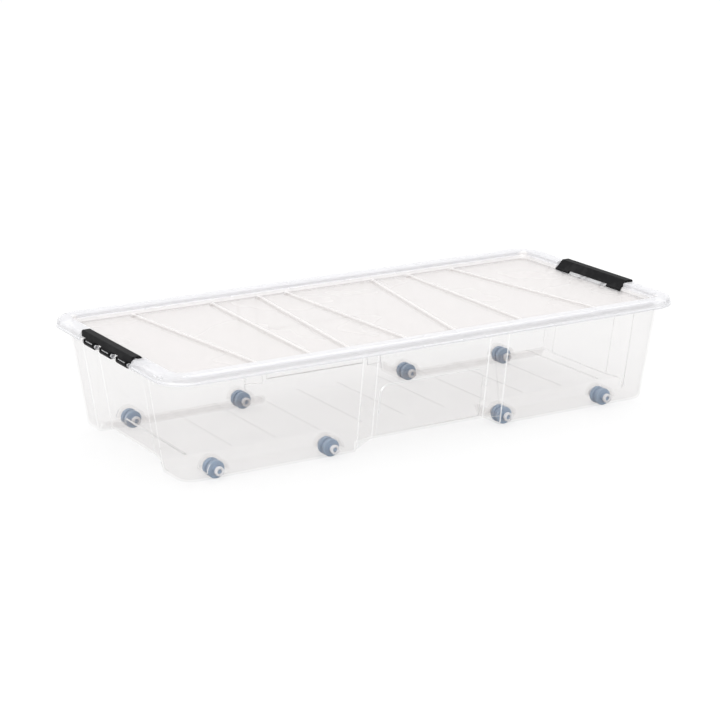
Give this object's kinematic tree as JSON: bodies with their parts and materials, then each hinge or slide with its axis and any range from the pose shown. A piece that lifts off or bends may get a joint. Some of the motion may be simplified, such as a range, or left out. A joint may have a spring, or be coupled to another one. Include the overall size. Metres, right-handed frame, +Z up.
{
  "type": "under bed box",
  "caption": "Long low storage box: clear drafted tray on spool wheels, clear lift-off lid with a sunk ridged panel, and a hinged black clip at each end.",
  "frame": {"origin": "on the floor under the middle of the box", "axes": "+X along the length, +Y from the near to the far long side, +Z up"},
  "size_m": [0.8, 0.375, 0.1606],
  "materials": {
    "clear_plastic": "clear, slightly milky polypropylene",
    "clip_plastic": "black, fine matt grain",
    "wheel_plastic": "grey-blue, smooth"
  },
  "bodies": {
    "tray": {"tray": "clear_plastic"},
    "lid": {"lid": "clear_plastic"},
    "clip_left": {"clip_left": "clip_plastic"},
    "clip_right": {"clip_right": "clip_plastic"},
    "wheel_left_near_outer": {"wheel_left_near_outer": "wheel_plastic"},
    "wheel_left_near_inner": {"wheel_left_near_inner": "wheel_plastic"},
    "wheel_right_near_inner": {"wheel_right_near_inner": "wheel_plastic"},
    "wheel_right_near_outer": {"wheel_right_near_outer": "wheel_plastic"},
    "wheel_left_far_outer": {"wheel_left_far_outer": "wheel_plastic"},
    "wheel_left_far_inner": {"wheel_left_far_inner": "wheel_plastic"},
    "wheel_right_far_inner": {"wheel_right_far_inner": "wheel_plastic"},
    "wheel_right_far_outer": {"wheel_right_far_outer": "wheel_plastic"}
  },
  "joints": [
    {"name": "wheel_left_near_outer_spin", "type": "hinge", "parent": "tray", "child": "wheel_left_near_outer", "pos_m": [-0.308, -0.123, 0.012], "axis": [0, 1, 0], "continuous": true},
    {"name": "wheel_left_near_inner_spin", "type": "hinge", "parent": "tray", "child": "wheel_left_near_inner", "pos_m": [-0.138, -0.123, 0.012], "axis": [0, 1, 0], "continuous": true},
    {"name": "wheel_right_near_inner_spin", "type": "hinge", "parent": "tray", "child": "wheel_right_near_inner", "pos_m": [0.138, -0.123, 0.012], "axis": [0, 1, 0], "continuous": true},
    {"name": "wheel_right_near_outer_spin", "type": "hinge", "parent": "tray", "child": "wheel_right_near_outer", "pos_m": [0.308, -0.123, 0.012], "axis": [0, 1, 0], "continuous": true},
    {"name": "wheel_left_far_outer_spin", "type": "hinge", "parent": "tray", "child": "wheel_left_far_outer", "pos_m": [-0.308, 0.123, 0.012], "axis": [0, 1, 0], "continuous": true},
    {"name": "wheel_left_far_inner_spin", "type": "hinge", "parent": "tray", "child": "wheel_left_far_inner", "pos_m": [-0.138, 0.123, 0.012], "axis": [0, 1, 0], "continuous": true},
    {"name": "wheel_right_far_inner_spin", "type": "hinge", "parent": "tray", "child": "wheel_right_far_inner", "pos_m": [0.138, 0.123, 0.012], "axis": [0, 1, 0], "continuous": true},
    {"name": "wheel_right_far_outer_spin", "type": "hinge", "parent": "tray", "child": "wheel_right_far_outer", "pos_m": [0.308, 0.123, 0.012], "axis": [0, 1, 0], "continuous": true},
    {"name": "lid_lift", "type": "slide", "parent": "tray", "child": "lid", "axis": [0, 0, 1], "range_m": [0, 0.015]},
    {"name": "clip_left_hinge", "type": "hinge", "parent": "tray", "child": "clip_left", "pos_m": [-0.3955, 0, 0.147], "axis": [0, -1, 0], "range_deg": [0, 145]},
    {"name": "clip_right_hinge", "type": "hinge", "parent": "tray", "child": "clip_right", "pos_m": [0.3955, 0, 0.147], "axis": [0, 1, 0], "range_deg": [0, 145]}
  ],
  "couplings": [
    {"joint": "clip_left_hinge", "follows": "lid_lift", "rad_per_m": 168.7},
    {"joint": "clip_right_hinge", "follows": "lid_lift", "rad_per_m": 168.7}
  ]
}
